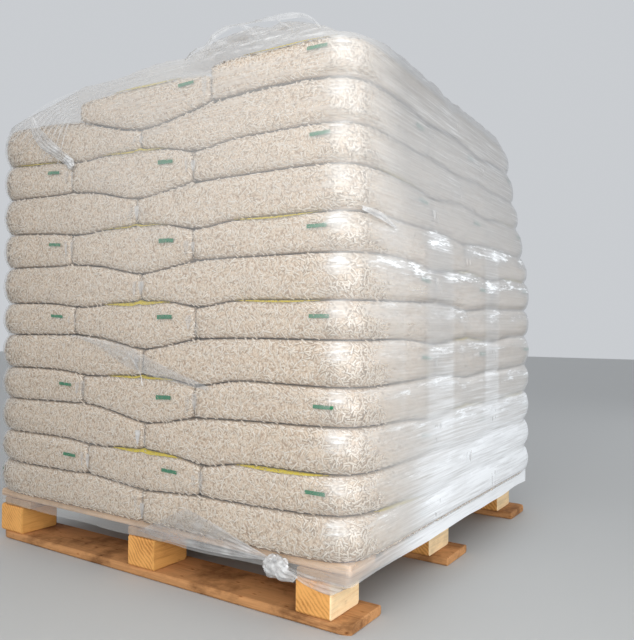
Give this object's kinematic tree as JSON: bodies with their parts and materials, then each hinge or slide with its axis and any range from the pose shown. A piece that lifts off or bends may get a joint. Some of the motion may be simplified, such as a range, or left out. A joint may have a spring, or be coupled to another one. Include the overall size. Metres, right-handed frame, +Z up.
{
  "type": "pallet of sacks",
  "caption": "Square wooden block pallet stacked with clear plastic sacks of wood pellets in crossed layers, wrapped in clear stretch film with a knot at the foot.",
  "frame": {"origin": "on the floor under the middle of the pallet's deck, on the underside of the middle bottom board", "axes": "+Z up; -Y towards the long front side, along which the bottom boards run; +X to the right of someone facing that side"},
  "size_m": [1.247, 1.2663, 1.3289],
  "materials": {
    "board_wood": "rough sawn, weathered",
    "block_wood": "rough sawn",
    "sack": "clear bag over pale wood pellets, glossy",
    "stretch_film": "clear, glossy, stretched"
  },
  "bodies": {
    "root": {"bottom_board_front": "board_wood", "bottom_board_middle": "board_wood", "bottom_board_rear": "board_wood", "block_front_left": "block_wood", "block_front_middle": "block_wood", "block_front_right": "block_wood", "block_middle_left": "block_wood", "block_middle_middle": "block_wood", "block_middle_right": "block_wood", "block_rear_left": "block_wood", "block_rear_middle": "block_wood", "block_rear_right": "block_wood", "stringer_board_left": "board_wood", "stringer_board_middle": "board_wood", "stringer_board_right": "board_wood", "deck_board_1": "board_wood", "deck_board_2": "board_wood", "deck_board_3": "board_wood", "deck_board_4": "board_wood", "deck_board_5": "board_wood", "deck_board_6": "board_wood", "deck_board_7": "board_wood", "deck_board_8": "board_wood", "sack_layer_01": "sack", "sack_layer_02": "sack", "sack_layer_03": "sack", "sack_layer_04": "sack", "sack_layer_05": "sack", "sack_layer_06": "sack", "sack_layer_07": "sack", "sack_layer_08": "sack", "sack_layer_09": "sack", "sack_layer_10": "sack", "sack_layer_11": "sack", "sack_layer_12": "sack", "film_wrap": "stretch_film", "film_knot": "stretch_film"}
  },
  "joints": []
}
